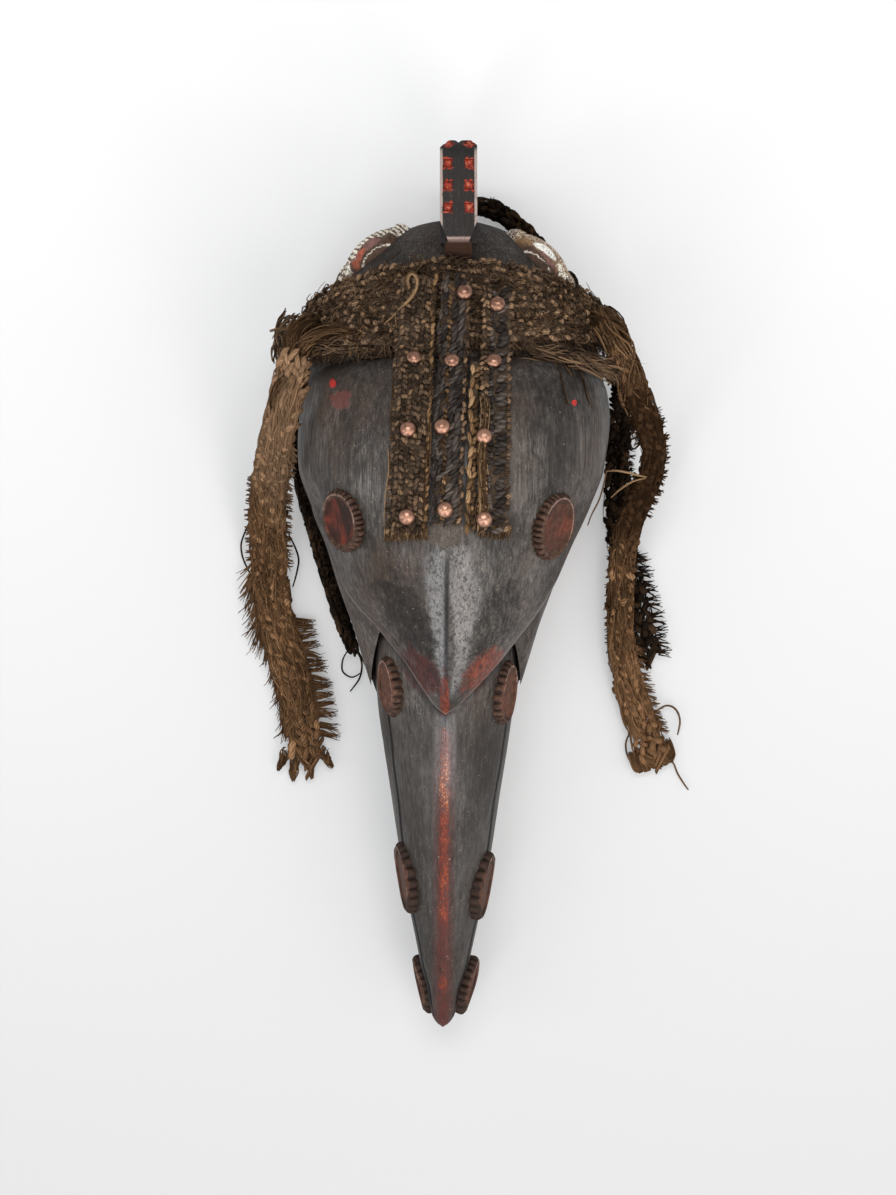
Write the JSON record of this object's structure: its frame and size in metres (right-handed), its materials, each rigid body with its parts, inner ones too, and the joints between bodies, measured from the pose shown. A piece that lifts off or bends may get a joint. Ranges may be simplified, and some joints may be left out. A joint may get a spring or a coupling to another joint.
{
  "type": "beaked mask",
  "caption": "Carved wooden bird mask with a bulging casque over a long beak, notched roundels, comb crest, tacked plaited straps and hanging plaits.",
  "frame": {"origin": "under the middle of the wooden mask's box, on the plane of its flat back rim", "axes": "+Z from the back rim towards the viewer, +Y from the beak's tip to the crest, +X to the right as seen from in front"},
  "size_m": [0.2576, 0.535, 0.1756],
  "materials": {
    "blackened_wood": "old dark patina, glossy on the high places, with red and white paint",
    "dark_fibre": "matte plaited plant fibre, nearly black",
    "pale_fibre": "matte plaited plant fibre, brown",
    "copper_tacks": "worn copper-coloured heads"
  },
  "bodies": {
    "root": {"mask_wood": "blackened_wood", "headband": "dark_fibre", "strap_left": "dark_fibre", "strap_middle": "dark_fibre", "strap_edge_roll": "pale_fibre", "strap_right": "dark_fibre", "tack_01": "copper_tacks", "tack_02": "copper_tacks", "tack_03": "copper_tacks", "tack_04": "copper_tacks", "tack_05": "copper_tacks", "tack_06": "copper_tacks", "tack_07": "copper_tacks", "tack_08": "copper_tacks", "tack_09": "copper_tacks", "tack_10": "copper_tacks", "tack_11": "copper_tacks", "plait_left_front": "pale_fibre", "plait_left_back": "dark_fibre", "plait_right_front": "pale_fibre", "plait_right_back": "dark_fibre", "plait_crown": "dark_fibre"}
  },
  "joints": []
}
